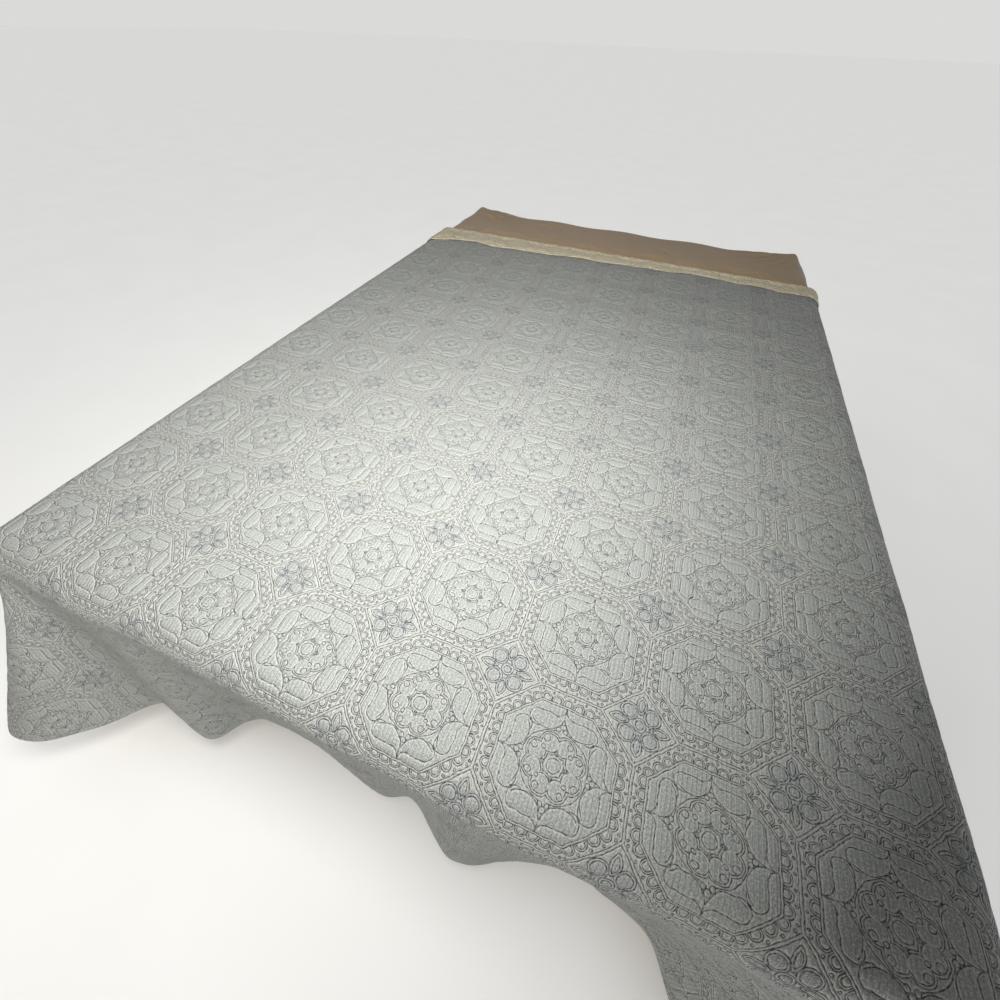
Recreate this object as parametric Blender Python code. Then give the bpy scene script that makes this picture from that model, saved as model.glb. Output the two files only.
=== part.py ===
"""A matelasse coverlet on a full-size mattress and a plain bed base.

The coverlet is one thick woven sheet. It lies on the mattress, rolls over its edge and hangs
down both sides and the foot, where its rounded corners stand out in folds. At the head end a
narrow cuff is turned back on top, so that the reverse shows.

Metres, +Z up. The bed's head is at +Y and its foot at -Y. The origin is on the floor, under
the middle of the bed.
"""

import math

import bmesh
import bpy
from mathutils import Vector

GAP = 0.0003  # between two solids that rest on each other

MATTRESS_WIDTH = 1.370
MATTRESS_LENGTH = 1.905
MATTRESS_HEIGHT = 0.280
MATTRESS_CORNER = 0.070  # radius of the upright corners
MATTRESS_EDGE = 0.050  # radius of the top and bottom edges

BASE_WIDTH = 1.340
BASE_LENGTH = 1.875
BASE_HEIGHT = 0.300
BASE_CORNER = 0.030
BASE_EDGE = 0.010

BED_TOP = BASE_HEIGHT + GAP + MATTRESS_HEIGHT

CLOTH_THICK = 0.003
FACE_CLEAR = 0.002  # from the mattress's sides to the cloth that hangs beside them
ROLL = 0.045  # radius of the middle of the cloth where it rolls over the edge
DROP = 0.450  # from the bed's top down to the hem

# Places on the middle surface of the cloth.
CLOTH_TOP = BED_TOP + GAP + CLOTH_THICK / 2
FACE_X = MATTRESS_WIDTH / 2 + FACE_CLEAR + CLOTH_THICK / 2
FOOT_Y = -(MATTRESS_LENGTH / 2 + FACE_CLEAR + CLOTH_THICK / 2)
FLAT_X = FACE_X - ROLL  # where the cloth starts to roll over a side
FLAT_Y = FOOT_Y + ROLL  # and over the foot
ROLL_LENGTH = ROLL * math.pi / 2
HANG_LENGTH = DROP - ROLL  # the straight part below the roll
OVER = ROLL_LENGTH + HANG_LENGTH  # cloth beyond the flat top, down to the hem
TURN_Y = FOOT_Y + 1.600  # the head end, where the cuff is turned back

# The cuff: how far its free edge lies from the turn, from the left side to the right.
#            across,  width
CUFF_WIDTHS = (
    (-1.12, 0.130),
    (-0.66, 0.128),
    (-0.50, 0.100),
    (-0.12, 0.092),
    (0.06, 0.068),
    (0.45, 0.052),
    (0.62, 0.070),
    (1.12, 0.092),
)
TURN_RADIUS = 0.0045  # of the turn itself
CUFF_LIFT = 0.0052  # from layer to layer once the cuff has settled
CUFF_SETTLES = 0.018  # over this length

# The hem seen from above. A row is a ridge, a valley or the flank between them.
# Beside the bed: from the foot towards the head, and out from the side.
LEFT_SIDE_FOLDS = (
    (1.60, 0.014),
    (1.42, 0.006),
    (1.20, 0.026),
    (0.98, 0.008),
    (0.80, 0.024),
    (0.62, 0.008),
    (0.50, 0.018),
    (0.38, 0.060),
    (0.28, 0.022),
    (0.18, 0.064),
    (0.10, 0.030),
)
RIGHT_SIDE_FOLDS = (
    (0.11, 0.034),
    (0.22, 0.070),
    (0.33, 0.026),
    (0.45, 0.054),
    (0.58, 0.012),
    (0.76, 0.026),
    (0.98, 0.006),
    (1.17, 0.022),
    (1.40, 0.008),
    (1.60, 0.018),
)
# Round a foot corner: out from the side, and out past the foot.
LEFT_CORNER_FOLDS = (
    (0.085, -0.048),
    (0.158, -0.030),
    (0.184, 0.022),
    (0.142, 0.068),
    (0.086, 0.088),
    (0.074, 0.134),
    (0.088, 0.186),
    (0.048, 0.232),
    (-0.012, 0.228),
    (-0.062, 0.184),
)
RIGHT_CORNER_FOLDS = (
    (-0.092, 0.154),
    (-0.040, 0.204),
    (0.020, 0.226),
    (0.078, 0.200),
    (0.088, 0.142),
    (0.096, 0.096),
    (0.148, 0.074),
    (0.176, 0.022),
    (0.150, -0.032),
    (0.086, -0.052),
)
# Past the foot: across from the middle of the bed, and out from the foot.
FOOT_FOLDS = (
    (-0.594, 0.147),
    (-0.545, 0.088),
    (-0.480, 0.094),
    (-0.390, 0.104),
    (-0.352, 0.052),
    (-0.290, 0.026),
    (-0.118, 0.030),
    (-0.012, 0.049),
    (0.055, 0.034),
    (0.120, 0.066),
    (0.165, 0.079),
    (0.225, 0.058),
    (0.275, 0.028),
    (0.340, 0.006),
    (0.422, 0.021),
    (0.510, 0.042),
    (0.555, 0.100),
)
STEADY_SIDE = 0.62  # nearer the head than this, nothing of the folds drags the hem along
SWELL = 0.003  # of the cloth on the mattress
SWELL_MARGIN = 0.15  # over which it dies out towards an edge
EDGE_SHARE = 0.08  # of a fold's reach that shows where the cloth leaves the roll
EASE = 0.12  # how slowly a fold opens below the roll

# Steps of the mesh.
TOP_COLUMNS = 28
TOP_ROWS = 23
TOP_ROW_GROWTH = 1.25  # the rows are closer together near the foot, where the folds are
ROLL_STEPS = 4
HANG_STEPS = 7
OVER_STEPS = ROLL_STEPS + HANG_STEPS
TURN_STEPS = 5
CUFF_STEPS = 3
COLUMNS = TOP_COLUMNS + 2 * OVER_STEPS + 1
CURVE_STEPS = 12  # to a row of a folds table
FALL_STEPS = 12
NORMAL_STEP = 0.01
CORNER_STEPS = 5
EDGE_STEPS = 4
EDGE_TEST = 0.001


def smooth_line(points):
    """A Catmull-Rom line through the points, with CURVE_STEPS steps between two of them."""
    line = []
    for i in range(len(points) - 1):
        p0 = points[max(i - 1, 0)]
        p1, p2 = points[i], points[i + 1]
        p3 = points[min(i + 2, len(points) - 1)]
        for step in range(CURVE_STEPS):
            u = step / CURVE_STEPS
            line.append(
                0.5 * (2 * p1 + u * (p2 - p0) + u**2 * (2 * p0 - 5 * p1 + 4 * p2 - p3)
                       + u**3 * (3 * p1 - p0 - 3 * p2 + p3))
            )
    line.append(points[-1])
    return line


def lengths_along(line):
    """How far each point of the line is from its start."""
    reached = [0.0]
    for before, after in zip(line, line[1:]):
        reached.append(reached[-1] + (after - before).length)
    return reached


def between(xs, ys, x):
    """Straight interpolation in two rising lists, held level past their ends."""
    if x <= xs[0]:
        return ys[0]
    for x0, x1, y0, y1 in zip(xs, xs[1:], ys, ys[1:]):
        if x <= x1:
            return y0 + (y1 - y0) * (x - x0) / (x1 - x0)
    return ys[-1]


def hem_stations():
    """The hem's ridges and valleys in plan, from the left head end round to the right one."""
    stations = [Vector((-FACE_X - out, FOOT_Y + along)) for along, out in LEFT_SIDE_FOLDS]
    stations += [Vector((-FACE_X - side, FOOT_Y - foot)) for side, foot in LEFT_CORNER_FOLDS]
    stations += [Vector((across, FOOT_Y - out)) for across, out in FOOT_FOLDS]
    stations += [Vector((FACE_X + side, FOOT_Y - foot)) for side, foot in RIGHT_CORNER_FOLDS]
    stations += [Vector((FACE_X + out, FOOT_Y + along)) for along, out in RIGHT_SIDE_FOLDS]
    return stations


# Distances along the flat hem, from the head end of the left side.
FLAT_SIDE = TURN_Y - FLAT_Y
FLAT_CORNER = OVER * math.pi / 2
FLAT_FOOT = 2 * FLAT_X
FLAT_HEM = 2 * FLAT_SIDE + 2 * FLAT_CORNER + FLAT_FOOT


class Hem:
    """The hem in plan, found by its distance along the flat cloth."""

    def __init__(self):
        self.line = smooth_line(hem_stations())
        self.reached = lengths_along(self.line)
        steady = FOOT_Y + STEADY_SIDE
        # A place on the hem that stays level with its place on the edge: both head ends,
        # both ends of the steady stretches and the middle of the foot.
        left = self.where(lambda p: p.x < -FACE_X and p.y < steady, first=True)
        right = self.where(lambda p: p.x > FACE_X and p.y < steady, first=False)
        middle = self.where(lambda p: p.y < FOOT_Y and p.x > 0.0, first=True)
        self.flat_marks = [
            0.0,
            TURN_Y - steady,
            FLAT_HEM / 2,
            FLAT_HEM - (TURN_Y - steady),
            FLAT_HEM,
        ]
        self.line_marks = [0.0, left, middle, right, self.reached[-1]]

    def where(self, test, first):
        found = [r for r, p in zip(self.reached, self.line) if test(p)]
        return found[0] if first else found[-1]

    def at(self, flat):
        reached = between(self.flat_marks, self.line_marks, flat)
        x = between(self.reached, [p.x for p in self.line], reached)
        y = between(self.reached, [p.y for p in self.line], reached)
        return Vector((x, y))


HEM = Hem()


def opened(share):
    """How far a fold has opened at this share of the hanging length."""
    return EDGE_SHARE + (1 - EDGE_SHARE) * share**2 * (1 + EASE) / (share + EASE)


def fallen(reach, share):
    """How far the cloth has come down below the roll, when its hem stands out by reach."""
    fall = 0.0
    for step in range(FALL_STEPS):
        start, end = share * step / FALL_STEPS, share * (step + 1) / FALL_STEPS
        sideways = reach * (opened(end) - opened(start))
        along = HANG_LENGTH * (end - start)
        fall += math.sqrt(max(along**2 - sideways**2, 0.0))
    return fall


def smooth_step(share):
    share = min(max(share, 0.0), 1.0)
    return share * share * (3 - 2 * share)


def swell(x, y):
    """The slight rise and fall of the cloth on the mattress, never below its rest."""
    waves = math.sin(5.3 * x + 2.1 * y + 0.6) * math.sin(3.1 * y - 1.7 * x) + 1
    edge = min(FLAT_X - abs(x), y - FLAT_Y) / SWELL_MARGIN
    return SWELL / 2 * waves * smooth_step(edge)


def over_the_edge(apex, direction, flat, depth):
    """A point of the cloth beyond the flat top: apex is where it leaves the top, direction
    points out from there, flat is its place along the hem, and depth is its distance."""
    edge = apex + direction * ROLL
    reach = HEM.at(flat) - edge
    if depth <= ROLL_LENGTH:
        angle = depth / ROLL
        share = smooth_step(depth / ROLL_LENGTH)
        plan = apex + direction * ROLL * math.sin(angle) + reach * EDGE_SHARE * share
        return Vector((plan.x, plan.y, CLOTH_TOP - ROLL * (1 - math.cos(angle))))
    share = (depth - ROLL_LENGTH) / HANG_LENGTH
    plan = edge + reach * opened(share)
    return Vector((plan.x, plan.y, CLOTH_TOP - ROLL - fallen(reach.length, share)))


def depth_at(step):
    """Cloth from the flat top to this step of the roll and the hang."""
    if step <= ROLL_STEPS:
        return ROLL_LENGTH * step / ROLL_STEPS
    return ROLL_LENGTH + HANG_LENGTH * (step - ROLL_STEPS) / HANG_STEPS


def flat_across(column):
    """How far this column of the cloth is from its middle, along the cloth. Columns run from
    the hem on the left to the hem on the right."""
    beyond_left = OVER_STEPS - column
    beyond_right = column - OVER_STEPS - TOP_COLUMNS
    if beyond_left > 0:
        return -FLAT_X - depth_at(beyond_left)
    if beyond_right > 0:
        return FLAT_X + depth_at(beyond_right)
    return FLAT_FOOT * ((column - OVER_STEPS) / TOP_COLUMNS - 0.5)


def lying_point(column, along):
    """A point on the bed's top or beside it, along from where the cloth leaves the foot."""
    across = flat_across(column)
    y = FLAT_Y + along
    depth = abs(across) - FLAT_X
    if depth <= 0:
        return Vector((across, y, CLOTH_TOP + swell(across, y)))
    sign = math.copysign(1, across)
    flat = FLAT_SIDE - along
    if sign > 0:
        flat = FLAT_HEM - flat
    return over_the_edge(Vector((sign * FLAT_X, y)), Vector((sign, 0)), flat, depth)


def foot_point(column, step):
    """A point beyond the foot, this many steps down, or round one of its corners."""
    across = flat_across(column)
    if abs(across) <= FLAT_X:
        flat = FLAT_HEM / 2 + across
        return over_the_edge(Vector((across, FLAT_Y)), Vector((0, -1)), flat, depth_at(step))
    sign = math.copysign(1, across)
    side = OVER_STEPS - column if sign < 0 else column - OVER_STEPS - TOP_COLUMNS
    quarter = step / side / 2 if side >= step else 1 - side / step / 2
    turn = quarter * math.pi / 2
    direction = Vector((sign * math.cos(turn), -math.sin(turn)))
    flat = FLAT_SIDE + turn * OVER
    if sign > 0:
        flat = FLAT_HEM - flat
    depth = depth_at(max(side, step))
    return over_the_edge(Vector((sign * FLAT_X, FLAT_Y)), direction, flat, depth)


def outward(column, along):
    """The way that the cloth's upper face points, on the bed's top or beside it."""
    before = lying_point(max(column - 1, 0), along)
    after = lying_point(min(column + 1, COLUMNS - 1), along)
    footward = lying_point(column, along - NORMAL_STEP)
    headward = lying_point(column, along + NORMAL_STEP)
    return (after - before).cross(headward - footward).normalized()


def cuff_width(across):
    return between([row[0] for row in CUFF_WIDTHS], [row[1] for row in CUFF_WIDTHS], across)


def turned_point(column, angle):
    """A point of the turn at the head end, at an angle from 0 below to a half turn above."""
    forward = Vector((0, TURN_RADIUS * math.sin(angle), 0))
    lift = outward(column, FLAT_SIDE) * TURN_RADIUS * (1 - math.cos(angle))
    return lying_point(column, FLAT_SIDE) + forward + lift


def cuff_point(column, share):
    """A point of the cuff, from 0 at the turn to 1 at its free edge."""
    back = cuff_width(flat_across(column)) * share
    settled = smooth_step(back / CUFF_SETTLES)
    lift = 2 * TURN_RADIUS + (CUFF_LIFT - 2 * TURN_RADIUS) * settled
    along = FLAT_SIDE - back
    return lying_point(column, along) + outward(column, along) * lift


def cloth_rows():
    """The middle surface, row by row: the hanging foot, the top, the turn and the cuff."""
    rows = [
        [foot_point(column, step) for column in range(COLUMNS)]
        for step in range(OVER_STEPS, 0, -1)
    ]
    for step in range(TOP_ROWS + 1):
        along = FLAT_SIDE * (step / TOP_ROWS) ** TOP_ROW_GROWTH
        rows.append([lying_point(column, along) for column in range(COLUMNS)])
    for step in range(1, TURN_STEPS + 1):
        angle = math.pi * step / TURN_STEPS
        rows.append([turned_point(column, angle) for column in range(COLUMNS)])
    for step in range(1, CUFF_STEPS + 1):
        rows.append([cuff_point(column, step / CUFF_STEPS) for column in range(COLUMNS)])
    return rows


def add_mesh(name, mesh, material):
    """Puts a finished bmesh into the scene as an object of its own."""
    data = bpy.data.meshes.new(name)
    mesh.to_mesh(data)
    mesh.free()
    data.materials.append(material)
    piece = bpy.data.objects.new(name, data)
    bpy.context.collection.objects.link(piece)
    return piece


def plain_material(name, colour, roughness):
    material = bpy.data.materials.new(name)
    material.use_nodes = True
    shader = material.node_tree.nodes["Principled BSDF"]
    shader.inputs["Base Color"].default_value = (*colour, 1)
    shader.inputs["Roughness"].default_value = roughness
    shader.inputs["Metallic"].default_value = 0
    return material


def make_coverlet():
    """One sheet, given its thickness half above and half below its middle surface."""
    mesh = bmesh.new()
    rows = [[mesh.verts.new(point) for point in row] for row in cloth_rows()]
    for step, (lower, upper) in enumerate(zip(rows, rows[1:])):
        for column in range(COLUMNS - 1):
            corners = (lower[column], lower[column + 1], upper[column + 1], upper[column])
            face = mesh.faces.new(corners)
            if step >= OVER_STEPS:
                continue
            # Round a foot corner a face is split along the line that runs out from the bed.
            if column < OVER_STEPS:
                bmesh.utils.face_split(face, corners[0], corners[2])
            elif column >= OVER_STEPS + TOP_COLUMNS:
                bmesh.utils.face_split(face, corners[1], corners[3])
    colour = plain_material("matelasse", (0.40, 0.44, 0.42), 0.85)
    coverlet = add_mesh("coverlet", mesh, colour)
    thickness = coverlet.modifiers.new("thickness", "SOLIDIFY")
    thickness.thickness = CLOTH_THICK
    thickness.offset = 0
    return coverlet


def rounded_block(name, size, base, corner, edge, material):
    """A box that stands at height base, its upright corners and then its edges rounded."""
    mesh = bmesh.new()
    bmesh.ops.create_cube(mesh, size=1)
    bmesh.ops.scale(mesh, vec=size, verts=mesh.verts)
    bmesh.ops.translate(mesh, vec=(0, 0, base + size[2] / 2), verts=mesh.verts)
    upright = [e for e in mesh.edges if abs(e.verts[0].co.z - e.verts[1].co.z) > EDGE_TEST]
    bmesh.ops.bevel(
        mesh, geom=upright, offset=corner, segments=CORNER_STEPS, profile=0.5, affect="EDGES"
    )
    level = [e for e in mesh.edges if abs(e.verts[0].co.z - e.verts[1].co.z) < EDGE_TEST]
    bmesh.ops.bevel(
        mesh, geom=level, offset=edge, segments=EDGE_STEPS, profile=0.5, affect="EDGES"
    )
    return add_mesh(name, mesh, material)


def make_mattress():
    size = (MATTRESS_WIDTH, MATTRESS_LENGTH, MATTRESS_HEIGHT)
    colour = plain_material("tan cotton", (0.34, 0.27, 0.20), 0.9)
    return rounded_block(
        "mattress", size, BASE_HEIGHT + GAP, MATTRESS_CORNER, MATTRESS_EDGE, colour
    )


def make_base():
    size = (BASE_WIDTH, BASE_LENGTH, BASE_HEIGHT)
    colour = plain_material("woven upholstery", (0.42, 0.38, 0.33), 0.9)
    return rounded_block("bed_base", size, 0.0, BASE_CORNER, BASE_EDGE, colour)


for old in list(bpy.data.objects):
    bpy.data.objects.remove(old, do_unlink=True)
make_base()
make_mattress()
make_coverlet()
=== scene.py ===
"""A matelasse coverlet, draped over a mattress in its fitted sheet on a plain bed base.

Metres, +Z up. The bed's head is at +Y and its foot at -Y. The origin is on the floor, under
the middle of the bed.
"""

import math

import bmesh
import bpy
import numpy as np
from mathutils import Matrix, Vector


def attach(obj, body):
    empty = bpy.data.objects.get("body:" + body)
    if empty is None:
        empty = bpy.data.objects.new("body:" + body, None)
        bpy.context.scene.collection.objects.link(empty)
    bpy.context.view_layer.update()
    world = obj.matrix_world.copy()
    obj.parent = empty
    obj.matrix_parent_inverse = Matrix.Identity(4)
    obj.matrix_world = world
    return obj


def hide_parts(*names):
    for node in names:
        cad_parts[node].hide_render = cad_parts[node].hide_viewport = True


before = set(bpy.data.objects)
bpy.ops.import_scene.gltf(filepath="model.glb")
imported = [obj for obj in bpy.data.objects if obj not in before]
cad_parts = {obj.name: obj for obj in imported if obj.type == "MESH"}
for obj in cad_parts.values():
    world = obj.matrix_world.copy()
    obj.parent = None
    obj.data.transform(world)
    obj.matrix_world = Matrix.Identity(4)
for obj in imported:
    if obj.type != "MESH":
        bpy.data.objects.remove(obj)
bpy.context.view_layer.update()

for loaded in bpy.context.selected_objects:
    loaded.select_set(False)

# ---------------------------------------------------------------------------------------
# The room: a pale matt floor, a soft lamp low over the foot of the bed, a weaker one before
# the foot, and the light of a white room. The camera stands at the foot, close to the bed and
# over its edge, with a wide lens.

EYE = Vector((0.190, -0.9326, 1.096))
PITCH, YAW, ROLL_ANGLE = 0.902, 0.352, 0.037  # down, to the left, and round the line of sight
LENS, SENSOR = 13.518, 36  # focal length and sensor width, mm

forward = Vector(
    (-math.sin(YAW) * math.cos(PITCH), math.cos(YAW) * math.cos(PITCH), -math.sin(PITCH))
)
level = Vector((math.cos(YAW), math.sin(YAW), 0))
upright = level.cross(forward)
right = level * math.cos(ROLL_ANGLE) + upright * math.sin(ROLL_ANGLE)
up = upright * math.cos(ROLL_ANGLE) - level * math.sin(ROLL_ANGLE)

lens = bpy.data.cameras.new("camera")
lens.lens = LENS
lens.sensor_width = SENSOR
lens.clip_start = 0.01
camera = bpy.data.objects.new("camera", lens)
bpy.context.collection.objects.link(camera)
turned = Matrix((right, up, -forward)).transposed().to_4x4()
camera.matrix_world = Matrix.Translation(EYE) @ turned
bpy.context.scene.camera = camera
bpy.context.scene.view_settings.view_transform = "Standard"


def linear(colour):
    """The linear value of an sRGB hex colour."""
    channels = [int(colour[i : i + 2], 16) / 255 for i in (1, 3, 5)]
    return [c / 12.92 if c <= 0.04045 else ((c + 0.055) / 1.055) ** 2.4 for c in channels] + [1]


def node(tree, kind, inputs=(), output=0, **settings):
    """Adds a shader node: its settings, and its inputs by name or in order, each a socket or a
    value. Gives one of its outputs. A Mix node's inputs go by number: 0 is its factor, 2 and 3
    are what it mixes when those are numbers, and 6 and 7 when they are colours."""
    made = tree.nodes.new("ShaderNode" + kind)
    for name, value in settings.items():
        setattr(made, name, value)
    for key, value in inputs.items() if isinstance(inputs, dict) else enumerate(inputs):
        if isinstance(value, bpy.types.NodeSocket):
            tree.links.new(value, made.inputs[key])
        else:
            made.inputs[key].default_value = value
    return made.outputs[output]


# Painted matt board, even all over but for a faint mottle.
floor_paint = bpy.data.materials.new("matt floor paint")
floor_paint.use_nodes = True
tree = floor_paint.node_tree
place = node(tree, "TexCoord", output="Object")
mottle = node(tree, "TexNoise", {"Vector": place, "Scale": 3.0, "Detail": 3.0})
shade = node(
    tree,
    "Mix",
    {"Factor": mottle, 6: linear("#EDEDEB"), 7: linear("#F3F3F2")},
    output=2,
    data_type="RGBA",
)
shader = tree.nodes["Principled BSDF"]
tree.links.new(shade, shader.inputs["Base Color"])
shader.inputs["Roughness"].default_value = 0.9
shader.inputs["Specular IOR Level"].default_value = 0.2

FLOOR_SIZE = 120.0
bpy.ops.mesh.primitive_plane_add(size=FLOOR_SIZE, location=(0, 0, 0))
floor = bpy.context.object
floor.name = "floor"
floor.data.materials.append(floor_paint)
floor.select_set(False)

# The white room: bright walls low down all round, which dim towards a ceiling in the dark.
# Heights here are those of a line of sight, 0 when level and 1 straight up.
WALL_DIMS_FROM, CEILING_FROM = 0.20, 0.62
WALL_GLOW, CEILING_GLOW = 0.80, 0.07
room = bpy.data.worlds.new("white room")
room.use_nodes = True
tree = room.node_tree
aloft = node(tree, "SeparateXYZ", [node(tree, "TexCoord", output="Generated")], "Z")
brightness = node(
    tree, "MapRange", (aloft, WALL_DIMS_FROM, CEILING_FROM, WALL_GLOW, CEILING_GLOW)
)
tree.nodes["Background"].inputs["Color"].default_value = linear("#F1F1F0")
tree.links.new(brightness, tree.nodes["Background"].inputs["Strength"])
bpy.context.scene.world = room

# A soft lamp hangs low at the foot and leans over the bed, and a weaker one stands before the
# foot. The floor has a lamp of its own, wide and even, which lights nothing else.
key = bpy.data.lights.new("lamp at the foot", "AREA")
key.size = 0.36
key.energy = 19.5
key.color = linear("#FFFDF8")[:3]
fill = bpy.data.lights.new("lamp before the foot", "AREA")
fill.size = 1.0
fill.energy = 3.4
fill.color = linear("#FFE2C6")[:3]
floor_light = bpy.data.lights.new("lamp for the floor", "SUN")
floor_light.angle = math.radians(110)
floor_light.energy = 2.0
# Each lamp, where it hangs, and what it faces. The last one lights only the floor.
for light, at, faces in (
    (key, Vector((0.184, -0.787, 1.375)), Vector((-1.25, 0.18, 0.58))),
    (fill, Vector((-0.45, -2.60, 1.15)), Vector((-0.35, -0.95, 0.35))),
    (floor_light, Vector((-1.0, -0.6, 4.0)), Vector((0, 0, 0))),
):
    lamp = bpy.data.objects.new(light.name, light)
    bpy.context.collection.objects.link(lamp)
    lamp.visible_camera = False
    turned = (faces - at).to_track_quat("-Z", "Y").to_matrix().to_4x4()
    lamp.matrix_world = Matrix.Translation(at) @ turned
only_floor = bpy.data.collections.new("only the floor")
only_floor.objects.link(floor)
lamp.light_linking.receiver_collection = only_floor

# ---------------------------------------------------------------------------------------
# The coverlet: one sheet of thick jacquard-woven cotton, 3 mm thick, pale grey-blue on its
# face and cream on its reverse. It lies on the bed, hangs down both sides and the foot, and
# is turned back at the head. Its flat shape, its folds and its hem are those of the frame.

CLOTH_TOP = 0.5821  # the height of the middle of the cloth on the bed
FACE_X = 0.6885  # how far across the cloth hangs at a side
FOOT_Y = -0.956  # where it hangs at the foot
ROLL = 0.045  # radius over the bed's edge
FLAT_X = FACE_X - ROLL
FLAT_Y = FOOT_Y + ROLL
ROLL_LENGTH = ROLL * math.pi / 2
HANG_LENGTH = 0.405  # from the roll down to the hem
OVER = ROLL_LENGTH + HANG_LENGTH
TURN_Y = FOOT_Y + 1.600  # where it is turned back
FLAT_SIDE = TURN_Y - FLAT_Y
FLAT_CORNER = OVER * math.pi / 2
FLAT_FOOT = 2 * FLAT_X
FLAT_HEM = 2 * (FLAT_SIDE + FLAT_CORNER) + FLAT_FOOT
EDGE_SHARE = 0.08  # of a fold's reach, where the cloth leaves the roll
EASE = 0.12  # how slowly a fold opens below the roll
STEADY_SIDE = 0.62  # from the foot: beyond it the folds beside the bed are shallow
TURN_RADIUS = 0.0045
TURN_LENGTH = math.pi * TURN_RADIUS

# How far the free edge of the turned-back cuff lies from the turn.
#            across, width
CUFF_WIDTHS = (
    (-1.12, 0.130),
    (-0.66, 0.128),
    (-0.50, 0.100),
    (-0.12, 0.092),
    (0.06, 0.068),
    (0.45, 0.052),
    (0.62, 0.070),
    (1.12, 0.092),
)
# The hem seen from above. A row is a ridge, a valley or the flank between them.
# Beside the bed: from the foot towards the head, and out from the side.
LEFT_SIDE_FOLDS = (
    (1.60, 0.014),
    (1.42, 0.006),
    (1.20, 0.026),
    (0.98, 0.008),
    (0.80, 0.024),
    (0.62, 0.008),
    (0.50, 0.018),
    (0.38, 0.060),
    (0.28, 0.022),
    (0.18, 0.064),
    (0.10, 0.030),
)
RIGHT_SIDE_FOLDS = (
    (0.11, 0.034),
    (0.22, 0.070),
    (0.33, 0.026),
    (0.45, 0.054),
    (0.58, 0.012),
    (0.76, 0.026),
    (0.98, 0.006),
    (1.17, 0.022),
    (1.40, 0.008),
    (1.60, 0.018),
)
# Round a foot corner: out from the side, and out past the foot.
LEFT_CORNER_FOLDS = (
    (0.085, -0.048),
    (0.158, -0.030),
    (0.184, 0.022),
    (0.142, 0.068),
    (0.086, 0.088),
    (0.074, 0.134),
    (0.088, 0.186),
    (0.048, 0.232),
    (-0.012, 0.228),
    (-0.062, 0.184),
)
RIGHT_CORNER_FOLDS = (
    (-0.092, 0.154),
    (-0.040, 0.204),
    (0.020, 0.226),
    (0.078, 0.200),
    (0.088, 0.142),
    (0.096, 0.096),
    (0.148, 0.074),
    (0.176, 0.022),
    (0.150, -0.032),
    (0.086, -0.052),
)
# Past the foot: across from the middle of the bed, and out from the foot.
FOOT_FOLDS = (
    (-0.594, 0.147),
    (-0.545, 0.088),
    (-0.480, 0.094),
    (-0.390, 0.104),
    (-0.352, 0.052),
    (-0.290, 0.026),
    (-0.118, 0.030),
    (-0.012, 0.049),
    (0.055, 0.034),
    (0.120, 0.066),
    (0.165, 0.079),
    (0.225, 0.058),
    (0.275, 0.028),
    (0.340, 0.006),
    (0.422, 0.021),
    (0.510, 0.042),
    (0.555, 0.100),
)
CURVE_STEPS = 12  # of the hem's line between two rows of the lists above
FALL_STEPS = 12  # in which the height of the hanging cloth is added up


def smooth_line(points):
    """A Catmull-Rom line through the points."""
    padded = np.vstack([points[:1], points, points[-1:]])
    u = (np.arange(CURVE_STEPS) / CURVE_STEPS)[:, None]
    runs = [
        0.5 * (2 * p1 + u * (p2 - p0) + u**2 * (2 * p0 - 5 * p1 + 4 * p2 - p3)
               + u**3 * (3 * p1 - p0 - 3 * p2 + p3))
        for p0, p1, p2, p3 in zip(padded, padded[1:], padded[2:], padded[3:])
    ]
    return np.vstack(runs + [points[-1:]])


hem_line = smooth_line(
    np.array(
        [(-FACE_X - out, FOOT_Y + along) for along, out in LEFT_SIDE_FOLDS]
        + [(-FACE_X - side, FOOT_Y - foot) for side, foot in LEFT_CORNER_FOLDS]
        + [(across, FOOT_Y - out) for across, out in FOOT_FOLDS]
        + [(FACE_X + side, FOOT_Y - foot) for side, foot in RIGHT_CORNER_FOLDS]
        + [(FACE_X + out, FOOT_Y + along) for along, out in RIGHT_SIDE_FOLDS]
    )
)
hem_reached = np.concatenate(
    [[0], np.cumsum(np.linalg.norm(np.diff(hem_line, axis=0), axis=1))]
)
# Where the flat hem meets this line: its ends, the ends of the shallow folds at both sides,
# and the middle of the foot.
steady = FOOT_Y + STEADY_SIDE
FLAT_MARKS = [0, TURN_Y - steady, FLAT_HEM / 2, FLAT_HEM - (TURN_Y - steady), FLAT_HEM]
hem_marks = [
    0,
    hem_reached[np.argmax((hem_line[:, 0] < -FACE_X) & (hem_line[:, 1] < steady))],
    hem_reached[np.argmax((hem_line[:, 1] < FOOT_Y) & (hem_line[:, 0] > 0))],
    hem_reached[np.flatnonzero((hem_line[:, 0] > FACE_X) & (hem_line[:, 1] < steady))[-1]],
    hem_reached[-1],
]


def hem_at(flat):
    """The hem in plan, by its distance along the flat cloth from the left head end."""
    reached = np.interp(flat, FLAT_MARKS, hem_marks)
    return np.stack([np.interp(reached, hem_reached, hem_line[:, i]) for i in (0, 1)], -1)


def smooth_step(share):
    """From 0 to 1 with a soft start and a soft end."""
    share = np.clip(share, 0, 1)
    return share * share * (3 - 2 * share)


def opened(share):
    """How much of its reach a fold has this share of the way down from the roll."""
    return EDGE_SHARE + (1 - EDGE_SHARE) * share**2 * (1 + EASE) / (share + EASE)


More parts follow.
